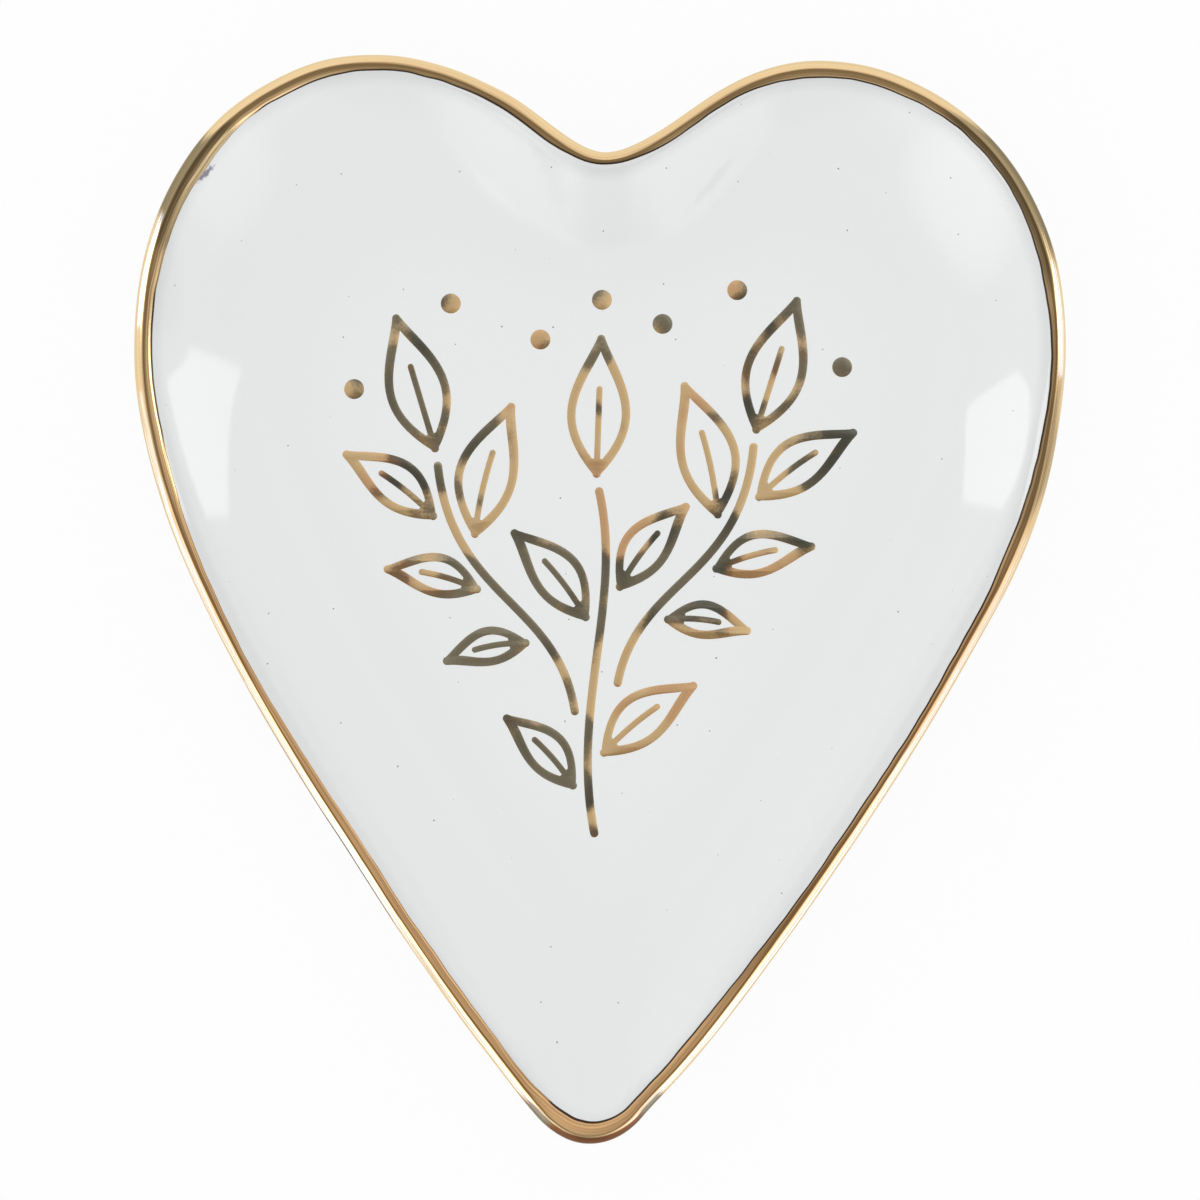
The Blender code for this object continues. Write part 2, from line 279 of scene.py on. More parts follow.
def makeLipGold(g):
    finish, wire, shader = newFinish("lipGold")
    place = wire.node("ShaderNodeTexCoord", {}, {}, "Object")
    across = wire.node("ShaderNodeAttribute", {"attribute_name": "across"}, {}, "Fac")
    x = wire.node("ShaderNodeSeparateXYZ", {}, {0: place}, 0)
    y = wire.node("ShaderNodeSeparateXYZ", {}, {0: place}, 1)

    def brushed(lines, along):         # noise drawn out along the band
        spot = {0: across * lines, 1: x * along, 2: y * along}
        return wire.node("ShaderNodeCombineXYZ", {}, spot).grain(1.0, 1.0)

    def away(spot):
        ends = {0: place, 1: spot}
        return wire.node("ShaderNodeVectorMath", {"operation": "DISTANCE"}, ends, "Value")

    bristle = brushed(*g["bristles"])
    fine = brushed(*g["fineBristles"])
    blot = place.grain(g["blotScale"])
    inner = (across + 0.20 * (bristle - 0.5)).ease(*g["innerFrom"])
    low = y.ease(g["copperFrom"][1], g["copperFrom"][0], 1.0, 0.35)
    tip = y.ease(g["roughDarkTipFrom"][1], g["roughDarkTipFrom"][0], 1.0, 0.0)
    body = (inner * low).between(g["gold"], g["copper"])

    bare = 1.0
    # painted dark reflections: olive over the gold on the lobes and one side
    for spot, full, gone, share in g["darkReflectionPlaces"]:
        paintedDark = (away(spot) + 0.006 * (bristle - 0.5) - 0.004 * inner).ease(full, gone, share, 0.0)
        cover = paintedDark * across.ease(0.08, 0.24, 0.45, 1.0) * (1 - 0.22 * inner)
        body = body.tint(g["oliveReflection"], cover)
        bare = (1 - paintedDark) * bare
    # painted dark reflection on the tip's outer half, in dark copper
    body = body.tint(g["darkCopperReflection"], tip * across.ease(0.40, 0.48, 0.95, 0.0))
    # painted dark reflections beside the tip, on the outer half
    for spot, full, gone, share in g["tipReflectionPlaces"]:
        paintedDark = (away(spot) + 0.002 * (fine - 0.5)).ease(full, gone, share, 0.0)
        body = body.tint(g["oliveReflection"], paintedDark * across.ease(0.42, 0.56, 1.0, 0.0))

    lines = (bristle + 0.05 * low + 0.03 * tip).ease(0.52, 0.60) * 0.6 + fine.ease(0.52, 0.60) * 0.4
    lines = lines * across.ease(*g["linesFrom"], *g["linesShare"])
    lines = lines * y.ease(*g["palerFrom"], 1.0, 0.72)
    body = body.tint(g["brown"], lines * (0.55 + 0.45 * bare))
    ragged = across + 0.03 * (fine - 0.5)
    # more of the dark inner edge to the upper right
    patchy = (blot + 2.2 * x + 2.0 * y + 0.25 * tip).ease(0.42, 0.48)
    body = body.tint(g["dark"], ragged.ease(*g["innerDark"]) * patchy * 0.95)
    leftward = x.ease(-0.005, 0.005, 0.9, 0.2)
    body = body.tint(g["dark"], ragged.ease(*g["outerDark"], 1.0, 0.0) * leftward)
    feed(body, shader, "Base Color")
    shader.inputs["Metallic"].default_value = 1.0
    rough = g["roughness"] + g["innerRoughness"] * inner
    rough = rough + g["bristleRoughness"] * fine + g["tipRoughness"] * tip
    feed(rough, shader, "Roughness")
    feedBump(bristle + 0.35 * fine, shader, g["brushStrength"], g["brushDepth"])
    return finish


# Gold lustre on the floor: a mirror, not quite level, so stretches of it turn to the light and go
# tan; elsewhere its olive base colour is a painted dark reflection
floorGold = {
    "gold": colour(0.84, 0.59, 0.31),
    "copper": colour(0.76, 0.42, 0.22),
    # painted dark reflection colours, olive and deeper olive
    "oliveReflection": colour(0.56, 0.52, 0.41),
    "deepOliveReflection": colour(0.24, 0.245, 0.215),
    "lean": 0.36,                      # rise over run where it turns to the light
    "driftScale": 48.0,                # of the stretches that turn
    "fineDriftScale": 170.0,
    "deepScale": 65.0,
    "warmScale": 95.0,
    "poreScale": 2800.0,
    "roughness": 0.14,
    "poreRoughness": 0.16,
    "poreStrength": 0.5,
    "poreDepth": 0.00002,
}


def makeFloorGold(g):
    finish, wire, shader = newFinish("floorGold")
    place = wire.node("ShaderNodeTexCoord", {}, {}, "Object")
    pores = place.grain(g["poreScale"], 1.0)
    drift = 0.6 * place.grain(g["driftScale"], 1.0) + 0.4 * place.grain(g["fineDriftScale"], 1.0)
    turned = (drift + 0.03 * (pores - 0.5)).ease(0.46, 0.54)
    deep = place.grain(g["deepScale"]).ease(0.40, 0.58)
    warm = place.grain(g["warmScale"]).ease(0.54, 0.66)
    # painted dark reflection: olive base colour, darker at random, where the film is not turned to
    # the light
    body = deep.between(g["oliveReflection"], g["deepOliveReflection"])
    body = body.tint(g["gold"], turned).tint(g["copper"], warm * 0.6)
    feed(body, shader, "Base Color")
    shader.inputs["Metallic"].default_value = 1.0
    feed(g["roughness"] + g["poreRoughness"] * pores, shader, "Roughness")
    lean = wire.node("ShaderNodeCombineXYZ", {}, {0: 0.0, 1: turned * g["lean"], 2: 0.0})
    upright = wire.node("ShaderNodeNewGeometry", {}, {}, "Normal")
    facing = wire.node("ShaderNodeVectorMath", {"operation": "ADD"}, {0: upright, 1: lean})
    facing = wire.node("ShaderNodeVectorMath", {"operation": "NORMALIZE"}, {0: facing})
    pits = {
        "Strength": g["poreStrength"],
        "Distance": g["poreDepth"],
        "Height": pores,
        "Normal": facing,
    }
    feed(wire.node("ShaderNodeBump", {}, pits), shader, "Normal")
    return finish


glazeFinish = makeGlaze(whiteGlaze)
clayFinish = makeClay(bareClay)
lipGoldFinish = makeLipGold(lipGold)
floorGoldFinish = makeFloorGold(floorGold)
print("finishes made")


# Heart curve, from above. A pull is a handle's length over the span that it crosses
heartCurve = {
    "cleftPull": 0.22,
    "crownInnerPull": 0.465,
    "crownOuterPull": 0.60,
    "widestUpperPull": 0.606,
    "widestLowerPull": 0.29,
    "tipPull": 0.234,
    "tipLean": math.radians(38.6),     # sides off upright where they reach the tip
    "spanPoints": (48, 80, 146, 26),   # from cleft to crown, widest place, tip's curve and tip
    "traceSteps": 200,                 # along each span before its points are spaced evenly
}


def evenly(line, count):       # the same line in points an even step apart, ends kept
    reach = [0.0]
    for before, after in zip(line, line[1:]):
        reach.append(reach[-1] + (after - before).length)
    spots = []
    step = 0
    for i in range(count):
        goal = reach[-1] * i / (count - 1)
        while step < len(line) - 2 and reach[step + 1] < goal:
            step += 1
        share = (goal - reach[step]) / (reach[step + 1] - reach[step])
        spots.append(line[step].lerp(line[step + 1], share))
    return spots


def heartLine(width, top, bottom, form):
    h = heartCurve
    crown = form["crownSpacing"] / 2
    shoulder = width / 2 - crown
    cleft = Vector((0, top - form["cleftDepth"]))
    lobe = Vector((crown, top))
    widest = Vector((width / 2, top - form["widestDrop"]))
    flank = widest.y - bottom
    radius = form["tipRadius"]
    lean = h["tipLean"]
    upward = Vector((math.sin(lean), math.cos(lean)))
    tipStart = Vector((radius * math.cos(lean), bottom + radius - radius * math.sin(lean)))
    tip = Vector((0, bottom))
    arcHandle = radius * 4 / 3 * math.tan((math.pi / 2 - lean) / 4)
    spans = [
        (
            cleft,
            cleft + Vector((h["cleftPull"] * crown, 0)),
            lobe - Vector((h["crownInnerPull"] * crown, 0)),
            lobe,
        ),
        (
            lobe,
            lobe + Vector((h["crownOuterPull"] * shoulder, 0)),
            widest + Vector((0, h["widestUpperPull"] * form["widestDrop"])),
            widest,
        ),
        (
            widest,
            widest - Vector((0, h["widestLowerPull"] * flank)),
            tipStart + h["tipPull"] * flank * upward,
            tipStart,
        ),
        (tipStart, tipStart - arcHandle * upward, tip + Vector((arcHandle, 0)), tip),
    ]
    right = []
    for span, count in zip(spans, h["spanPoints"]):
        right += evenly(interpolate_bezier(*span, h["traceSteps"]), count + 1)[:-1]
    right.append(tip)
    left = [Vector((-p.x, p.y)) for p in right[-2:0:-1]]
    return right + left


def inwards(line):
    count = len(line)
    aims = []
    for i in range(count):
        along = (line[(i + 1) % count] - line[i - 1]).normalized()
        aims.append(Vector((along.y, -along.x)))    # the line runs clockwise
    return aims


def bumps(point, rows):
    return sum(
        amount * math.exp(-((point.x - x) ** 2 + (point.y - y) ** 2) / spread ** 2)
        for x, y, amount, spread in rows
    )


def raised(line, z):
    return [Vector((p.x, p.y, z)) for p in line]


# Rings of points skinned into one mesh: a grid with a row for each ring, set in place and joined up
ringWeld = 0.0000005


def skinRings(name, rings, closed, across=None):
    rows = rings + rings[:1] if closed else rings
    bpy.ops.object.select_all(action="DESELECT")
    bpy.ops.mesh.primitive_grid_add(x_subdivisions=len(rows[0]), y_subdivisions=len(rows) - 1)
    piece = bpy.context.object
    piece.name = name
    piece.data.name = name
    places = [place for row in rows for place in row + row[:1]]
    for vert, place in zip(piece.data.vertices, places):
        vert.co = place
    if across:
        marks = piece.data.attributes.new("across", "FLOAT", "POINT")
        shares = across + across[:1]
        marks.data.foreach_set("value", [share for share in shares for _ in range(len(rows[0]) + 1)])
    bpy.ops.object.mode_set(mode="EDIT")
    bpy.ops.mesh.select_all(action="SELECT")
    bpy.ops.mesh.remove_doubles(threshold=ringWeld)
    bpy.ops.mesh.fill_holes(sides=0)
    bpy.ops.mesh.select_all(action="SELECT")
    bpy.ops.mesh.normals_make_consistent(inside=False)
    bpy.ops.object.mode_set(mode="OBJECT")
    bpy.ops.object.shade_smooth()
    return piece


def applySubsurf(piece, levels):
    bpy.context.view_layer.objects.active = piece
    smooth = piece.modifiers.new("smooth", "SUBSURF")
    smooth.levels = levels
    smooth.render_levels = levels
    bpy.ops.object.modifier_apply(modifier=smooth.name)


def settle(piece, finish, slot, *nodes):
    piece.data.materials.clear()
    piece.data.materials.append(finish)
    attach(piece, "root")
    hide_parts(*nodes)


# The dish: lip, walls, floor and base in one skin
lipLow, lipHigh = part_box("gilt_lip")
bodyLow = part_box("ceramic_body")[0]
dish = {
    "lip": {"cleftDepth": 0.0122, "crownSpacing": 0.0555, "widestDrop": 0.0394, "tipRadius": 0.0088},
    "floor": {"cleftDepth": 0.0038, "crownSpacing": 0.044, "widestDrop": 0.018, "tipRadius": 0.012},
    "base": {"cleftDepth": 0.0045, "crownSpacing": 0.044, "widestDrop": 0.021, "tipRadius": 0.012},
    "wallRun": 0.0225,          # plan width of the wall, lip to floor
    "crownRun": 0.0255,         # the same at the crowns, inside
    "tipRun": 0.036,            # the same at the tip
    # where part of the wall is straight: place from above, share, spread
    "straighter": (
        (0.0000, 0.0590, 0.44, 0.010),
        (0.0130, 0.0640, 0.48, 0.010),
        (0.0085, 0.0615, 0.10, 0.005),
        (-0.0130, 0.0640, 0.46, 0.010),
    ),
    "floorThickness": 0.0037,
    # lip section, outside to inside: in from the edge, down from the top, lean of the surface
    # outwards. At its two ends the lean is the wall's
    "roundSection": (
        (0.00024, 0.00212, 131),
        (0.00000, 0.00134, 90),
        (0.00022, 0.00077, 45),
        (0.00086, 0.00017, 39),
        (0.00118, 0.00000, 0),
        (0.00155, 0.000055, -16),
        (0.00195, 0.00020, -27),
        (0.00225, 0.00042, -44),
        (0.00275, 0.00092, -46),
    ),
    "sharpSection": (
        (0.00024, 0.00212, 131),
        (0.00000, 0.00134, 90),
        (0.00020, 0.00078, 46),
        (0.00090, 0.00010, 41),
        (0.00101, 0.000035, 10),
        (0.00112, 0.000045, -20),
        (0.00160, 0.00025, -25),
        (0.00212, 0.00058, -40),
        (0.00275, 0.00117, -45),
    ),
    # where the lip is sharp: place from above, share, spread
    "sharper": (
        (-0.0200, -0.0490, 0.85, 0.018),
        (-0.0420, -0.0160, 0.85, 0.018),
        (0.0140, -0.0580, 0.85, 0.014),
        (0.0000, -0.0690, 0.85, 0.008),
        (0.0400, -0.0210, 0.50, 0.016),
    ),
    "knotSteps": 16,
    "sectionPoints": 66,
    "wallRings": 26,
    "floorShares": (0.97, 0.50),     # rings on the flat floor, of its outline
    # where the casting isn't quite true: place from above, how far it stands out, spread
    "uneven": (
        (0.0565, 0.0104, 0.00040, 0.012),
        (-0.0575, 0.0470, 0.00045, 0.018),
        (-0.0074, 0.0620, 0.00031, 0.0062),
        (0.0170, -0.0530, 0.00034, 0.014),
        (0.0060, -0.0660, -0.00045, 0.006),
        (0.0460, 0.0635, -0.00038, 0.010),
        (0.0590, 0.0210, -0.00020, 0.008),
        (-0.0380, -0.0230, -0.00016, 0.014),
        (0.0529, 0.0026, 0.00016, 0.007),
        (-0.0052, -0.0680, -0.00024, 0.0035),
        (-0.0170, -0.0540, 0.00011, 0.008),
        (-0.0310, -0.0340, -0.00015, 0.009),
        (-0.0550, 0.0080, 0.00012, 0.010),
        (-0.0500, 0.0610, 0.00012, 0.006),
        (-0.0365, 0.0690, 0.00020, 0.005),
        (-0.0230, 0.0693, -0.00028, 0.0055),
        (-0.0118, 0.0646, 0.00025, 0.004),
        (0.0086, 0.0618, -0.00032, 0.0068),
        (0.0395, 0.0675, -0.00012, 0.005),
        (0.0586, 0.0450, 0.00018, 0.006),
        (0.0596, 0.0270, -0.00026, 0.007),
        (0.0285, -0.0380, 0.00011, 0.011),
        (-0.0580, 0.0260, -0.00010, 0.012),
    ),
    # where the wall under an untrue lip is true: place from above, share, spread
    "evened": ((0.0000, 0.0610, 0.95, 0.020),),
}
lipTop = lipHigh.z
floorZ = bodyLow.z + dish["floorThickness"]
trueLine = heartLine(lipHigh.x - lipLow.x, lipHigh.y, lipLow.y, dish["lip"])
lipLine = [p - bumps(p, dish["uneven"]) * aim for p, aim in zip(trueLine, inwards(trueLine))]
lipInwards = inwards(lipLine)
lipSlack = [bumps(p, dish["uneven"]) * bumps(p, dish["evened"]) for p in trueLine]
floorWidth = lipHigh.x - lipLow.x - 2 * dish["wallRun"]
floorBottom = lipLow.y + dish["tipRun"]
floorLine = heartLine(floorWidth, lipHigh.y - dish["crownRun"], floorBottom, dish["floor"])
baseLine = heartLine(floorWidth, lipHigh.y - dish["wallRun"], floorBottom, dish["base"])
innerBends = [1 - bumps(p, dish["straighter"]) for p in lipLine]
outerBends = [1.0] * len(lipLine)
sharpness = [min(1.0, bumps(p, dish["sharper"])) for p in lipLine]


# Share of the wall's height at a share of the way out: curved first, then straight
def wallRise(out, bend):
    bent = out * out / (2 * bend) if out < bend else out - bend / 2
    return bent / (1 - bend / 2)


# The lip's section at one place round it, in even steps
def lipCurve(edge, aim, sharp, slack, base, foot, bend):
    knots = []
    wallInset = dish["roundSection"][-1][0]
    for knot, sharpKnot in zip(dish["roundSection"], dish["sharpSection"]):
        pairs = zip(knot, sharpKnot)
        inset, drop, lean = [(1 - sharp) * plain + sharp * keen for plain, keen in pairs]
        knots.append([inset + slack * (inset / wallInset) ** 2, drop, lean])
    ends = ((knots[0], base, bodyLow.z, 1.0, 180), (knots[-1], foot, floorZ, bend, 0))
    for knot, start, z, bent, turn in ends:
        slope = (lipTop - knot[1] - z) / (1 - bent / 2) / (edge + knot[0] * aim - start).length
        knot[2] = turn - math.degrees(math.atan(slope))
    curve = []
    for (inset, drop, lean), (nextInset, nextDrop, nextLean) in zip(knots, knots[1:]):
        here, there = Vector((inset, -drop)), Vector((nextInset, -nextDrop))
        pull = (there - here).length / 3
        leave = Vector((math.cos(math.radians(lean)), math.sin(math.radians(lean))))
        arrive = Vector((math.cos(math.radians(nextLean)), math.sin(math.radians(nextLean))))
        handles = (here + pull * leave, there - pull * arrive)
        curve += interpolate_bezier(here, *handles, there, dish["knotSteps"])[:-1]
    curve.append(there)
    return evenly(curve, dish["sectionPoints"])


lipPlaces = zip(lipLine, lipInwards, sharpness, lipSlack, baseLine, floorLine, innerBends)
lipCurves = [lipCurve(*place) for place in lipPlaces]


def onLip(edge, aim, spot):            # a place in the lip's section, in the dish
    return Vector((edge.x + spot.x * aim.x, edge.y + spot.x * aim.y, lipTop + spot.y))


def wallRings(start, z, rim, bends, count):    # from the floor or base out to the rim
    rings = []
    for step in range(count):
        out = step / count
        rings.append([
            Vector((*foot.lerp(edge.xy, out), z + (edge.z - z) * wallRise(out, bend)))
            for foot, edge, bend in zip(start, rim, bends)
        ])
    return rings


def flatRings(line, z, shares):
    middle = Vector((0, sum(p.y for p in line) / len(line)))
    return [raised([middle.lerp(p, share) for p in line], z) for share in shares]


def makeBody(d):
    lipRings = []
    for step in range(d["sectionPoints"]):
        lipRings.append([
            onLip(edge, aim, curve[step]) for edge, aim, curve in zip(lipLine, lipInwards, lipCurves)
        ])
    shares = d["floorShares"]
    rings = flatRings(baseLine, bodyLow.z, shares[::-1])
    rings += wallRings(baseLine, bodyLow.z, lipRings[0], outerBends, d["wallRings"])
    rings += lipRings
    rings += wallRings(floorLine, floorZ, lipRings[-1], innerBends, d["wallRings"])[::-1]
    rings += flatRings(floorLine, floorZ, shares)
    body = skinRings("glazedBody", rings, False)
    settle(body, glazeFinish, "white_glaze", "ceramic_body")
    print("glazed body:", len(body.data.polygons), "faces")


makeBody(dish)


# Gold band on the lip: a film that follows the lip's section, with edges that waver as a brush does
giltBand = {
    "innerInset": 0.00204,
    "innerWaver": 0.00005,
    "innerNoise": (75, 0.3),      # scale, seed
    "bristleWaver": 0.00008,
    "bristleNoise": (420, 5.1),
    "outerReach": 0.00055,        # past the lip's edge, down its outside
    "outerWaver": 0.00030,
    "outerNoise": (110, 9.7),
    "lift": 0.000025,
    "sink": 0.00004,
    "edgeShare": 0.012,           # of the width, where the film comes up at each edge
    "rings": 44,
    # where the brush went wider: place from above, extra width, spread
    "wider": (
        (0.0000, -0.0700, 0.00082, 0.0060),
        (0.0150, -0.0560, 0.00035, 0.0140),
        (-0.0160, -0.0560, 0.00022, 0.0100),
        (0.0430, -0.0150, -0.00025, 0.0160),
        (-0.0470, -0.0080, -0.00022, 0.0120),
        (0.0564, 0.0104, 0.00020, 0.0080),
        (-0.0590, 0.0300, 0.00032, 0.0180),
        (-0.0530, 0.0570, 0.00075, 0.0085),
        (-0.0593, 0.0410, 0.00010, 0.0050),
        (0.0581, 0.0186, 0.00010, 0.0060),
        (-0.0070, 0.0620, 0.00014, 0.0050),
        (0.0135, 0.0650, -0.00010, 0.0050),
        (-0.0310, -0.0340, 0.00018, 0.0120),
        (0.0250, 0.0690, 0.00020, 0.0050),
        (0.0540, 0.0550, 0.00006, 0.0070),
        (0.0590, 0.0425, 0.00026, 0.0050),
        (0.0600, 0.0280, -0.00014, 0.0090),
        (0.0004, 0.0585, -0.00032, 0.0045),
        (-0.0405, 0.0675, 0.00040, 0.0080),
        (-0.0580, 0.0465, 0.00028, 0.0050),
        (-0.0580, 0.0170, 0.00020, 0.0110),
        (0.0375, 0.0680, 0.00022, 0.0090),
        (0.0571, 0.0482, 0.00017, 0.0040),
        (0.0541, 0.0060, 0.00016, 0.0060),
        (0.0285, -0.0380, -0.00014, 0.0100),
        (-0.0220, -0.0470, 0.00016, 0.0060),
        (-0.0060, -0.0672, 0.00055, 0.0045),
    ),
    # where the gold stops short of the outer edge
    "short": (
        (0.0300, -0.0350, 0.00070, 0.0300),
        (-0.0340, -0.0290, 0.00100, 0.0240),
        (-0.0580, 0.0200, 0.00030, 0.0100),
    ),
}


def waver(point, scale, seed):
    return noise.noise(Vector((point.x * scale, point.y * scale, seed)))


def makeBand(b):
    edge = b["edgeShare"]
    lastRing = b["rings"] - 1
    shares = [0.0] + [edge + (1 - 2 * edge) * i / lastRing for i in range(b["rings"])] + [1.0]
    top = [[] for _ in shares]
    under = [[] for _ in shares]
    for point, aim, curve in zip(lipLine, lipInwards, lipCurves):
        gap = (curve[1] - curve[0]).length
        slow = waver(point, *b["innerNoise"])
        quick = waver(point, *b["bristleNoise"])
        other = waver(point, *b["outerNoise"])
        outermost = min(range(len(curve)), key=lambda i: curve[i].x)
        first = gap * outermost - b["outerReach"] + b["outerWaver"] * other
        first += bumps(point, b["short"])
        inset = b["innerInset"] + b["innerWaver"] * slow + b["bristleWaver"] * quick
        inset += bumps(point, b["wider"])
        step = max(i for i in range(len(curve) - 1) if curve[i].x <= inset)
        last = gap * (step + (inset - curve[step].x) / (curve[step + 1].x - curve[step].x))
        for i, share in enumerate(shares):
            run = first + (last - first) * share
            step = min(int(run / gap), len(curve) - 2)
            along = (curve[step + 1] - curve[step]).normalized()
            spot = curve[step].lerp(curve[step + 1], run / gap - step)
            out = Vector((-along.y, along.x))
            film = b["lift"] if 0 < i < len(shares) - 1 else -b["sink"]
            top[i].append(onLip(point, aim, spot + film * out))
            under[i].append(onLip(point, aim, spot - b["sink"] * out))
    below = slice(-2, 0, -4)      # its underside, back across, has every fourth ring
    band = skinRings("giltLip", top + under[below], True, shares + shares[below])
    settle(band, lipGoldFinish, "gold_lustre", "gilt_lip")
    print("gilt lip:", len(band.data.polygons), "faces")


makeBand(giltBand)


# Foot ring: bare clay, rounded where it stands
footRing = {
    "inset": 0.0015,
    "width": 0.0030,
    "bury": 0.0002,             # up into the base
    # section, outside to inside: share of the width, share of the height
    "section": (
        (0.0, 1.0), (0.0, 0.45), (0.03, 0.16), (0.18, 0.0),
        (0.82, 0.0), (0.97, 0.16), (1.0, 0.45), (1.0, 1.0),
    ),
}


def makeFoot(f):
    height = bodyLow.z + f["bury"]
    aims = inwards(baseLine)
    rings = []
    for across, up in f["section"]:
        step = f["inset"] + across * f["width"]
        rings.append(raised([p + step * aim for p, aim in zip(baseLine, aims)], up * height))
    foot = skinRings("bareFootRing", rings, True)
    applySubsurf(foot, 1)
    settle(foot, clayFinish, "bare_ceramic", "foot_ring")
    print("foot ring:", len(foot.data.polygons), "faces")


makeFoot(footRing)


# Leaf sprig in gold on the floor: places are shares of its box, across -1 to 1 and up 0 to 1
leafSprig = {
    "margin": 0.0030,
    "lineWidth": 0.0011,
    "veinWidth": 0.0008,
    "veinGap": 0.0003,
    "berryRadius": 0.0013,
    "leafGap": 0.0012,
    "fullness": 0.44,
    "baseFill": 0.0017,
    "pointFill": 0.0022,
    "bow": 0.0008,
    "veinReach": 0.62,
    "belly": 0.85,
    "taper": 1.1,
    "film": 0.00003,
    "weld": 0.000002,
    "facetAngle": math.radians(30),
    "stemPoints": 40,
    "berryPoints": 40,
    "leafSteps": 22,
    "veinSteps": 6,
    "endSteps": 6,
    # stem as a Bezier of four points; leaf as place along the stem, side, tip
    "branches": {
        "centre": (
            ((0.00, 0.01), (-0.10, 0.23), (0.10, 0.41), (0.00, 0.60)),
            (
                (0.12, 1, (-0.35, 0.21)),
                (0.21, -1, (0.38, 0.27)),
                (0.60, 1, (-0.33, 0.53)),
                (0.70, -1, (0.34, 0.58)),
                (1.0, 0, (0.0, 0.87)),
            ),
        ),
        "left": (
            ((-0.08, 0.22), (-0.15, 0.41), (-0.55, 0.41), (-0.61, 0.64)),
            (
                (0.30, 1, (-0.58, 0.30)),
                (0.58, 1, (-0.81, 0.46)),
                (0.86, 1, (-0.97, 0.66)),
                (0.75, -1, (-0.33, 0.75)),
                (1.0, 0, (-0.78, 0.90)),
            ),
        ),
        "right": (
            ((0.08, 0.27), (0.15, 0.45), (0.54, 0.45), (0.58, 0.68)),
            (
                (0.30, -1, (0.58, 0.36)),
                (0.58, -1, (0.82, 0.51)),
                (0.86, -1, (0.97, 0.71)),
                (0.75, 1, (0.31, 0.79)),
                (1.0, 0, (0.74, 0.94)),
            ),
        ),
    },
    "berries": (
        (0.00, 0.93), (-0.23, 0.86), (0.23, 0.89), (-0.93, 0.77),
        (0.91, 0.82), (-0.57, 0.92), (0.51, 0.95),
    ),
}


def sprigPoint(share):
    margin = leafSprig["margin"]
    half = (lipHigh.x - lipLow.x) / 2 - dish["wallRun"] - margin
    low = lipLow.y + dish["tipRun"] + margin
    high = lipHigh.y - dish["wallRun"] - margin
    return Vector((share[0] * half, low + share[1] * (high - low)))


def roundEnd(centre, towards, radius):
    across = Vector((-towards.y, towards.x))
    steps = leafSprig["endSteps"]
    turns = [math.pi * (i / steps - 0.5) for i in range(steps + 1)]
    return [centre + radius * (math.cos(t) * towards + math.sin(t) * across) for t in turns]


# Flat gold film: outlines drawn as a 2D curve, filled, thickened and made a mesh on the floor
def goldFilm(name, node, outlines, film):
    bpy.ops.object.select_all(action="DESELECT")
    bpy.ops.curve.primitive_bezier_circle_add()
    drawn = bpy.context.object
    drawn.name = name
    drawn.data.splines.clear()
    drawn.data.dimensions = "2D"
    drawn.data.fill_mode = "BOTH"
    drawn.data.bevel_depth = film
    drawn.data.bevel_resolution = 1
    drawn.data.offset = -film
    for outline in outlines:
        spline = drawn.data.splines.new("POLY")
        spline.points.add(len(outline) - 1)
        spline.use_cyclic_u = True
        for point, place in zip(spline.points, outline):
            point.co = (place.x, place.y, 0, 1)
    drawn.location.z = floorZ
    bpy.ops.object.convert(target="MESH")
    bpy.ops.object.transform_apply(location=True, rotation=True, scale=True)
    bpy.ops.object.mode_set(mode="EDIT")
    bpy.ops.mesh.select_all(action="SELECT")
    bpy.ops.mesh.remove_doubles(threshold=leafSprig["weld"])
    bpy.ops.mesh.normals_make_consistent(inside=False)
    bpy.ops.object.mode_set(mode="OBJECT")
    bpy.ops.object.shade_smooth_by_angle(angle=leafSprig["facetAngle"])
    settle(drawn, floorGoldFinish, "gold_lustre", node)
    return drawn


def stemOutline(path, half):
    first = (path[1] - path[0]).normalized()
    last = (path[-1] - path[-2]).normalized()
    left, right = [], []
    for before, here, after in zip(path, path[1:], path[2:]):
        along = (after - before).normalized()
        across = Vector((-along.y, along.x))
        left.append(here + half * across)
        right.append(here - half * across)
    return right + roundEnd(path[-1], last, half) + left[::-1] + roundEnd(path[0], -first, half)


def leafOutlines(base, tip, bow, s):
    reach = (tip - base).length
    along = (tip - base) / reach
    across = Vector((-along.y, along.x))
    width = s["fullness"] * reach
    half = s["lineWidth"] / 2
    steps = s["leafSteps"]

    def place(up, out):
        share = up / reach
        return base + up * along + (out + bow * (1 - (2 * share - 1) ** 2)) * across

    def bulge(share):
        return math.sin(math.pi * share ** s["belly"]) ** s["taper"]

    edge = []
    for i in range(1, steps):
        share = i / steps
        edge.append((half + share * (reach - 2 * half), half + (width / 2 - half) * bulge(share)))
    outline = [place(up, -out) for up, out in edge]
    outline += roundEnd(place(reach - half, 0), along, half)
    outline += [place(up, out) for up, out in reversed(edge)]
    outline += roundEnd(place(half, 0), -along, half)

    inner = reach - s["baseFill"] - s["pointFill"]
    halfBare = width / 2 - 2 * half
    root = (s["veinWidth"] / 2 + s["veinGap"]) / halfBare
    first = (math.asin(root ** (1 / s["taper"])) / math.pi) ** (1 / s["belly"])
    bare = []
    for i in range(steps):
        share = first + (1 - first) * i / steps
        bare.append((s["baseFill"] + share * inner, halfBare * bulge(share)))
    veinHalf = s["veinWidth"] / 2
    veinStart, veinEnd = bare[0][0], s["veinReach"] * reach
    ups = [veinStart + (veinEnd - veinStart) * i / s["veinSteps"] for i in range(s["veinSteps"])]
    hole = [place(up, -out) for up, out in bare]
    hole += [place(reach - s["pointFill"], 0)]
    hole += [place(up, out) for up, out in reversed(bare)]
    hole += [place(up, veinHalf) for up in ups]
    hole += roundEnd(place(veinEnd, 0), along, veinHalf)[::-1]
    hole += [place(up, -veinHalf) for up in reversed(ups)]
    return [outline, hole]


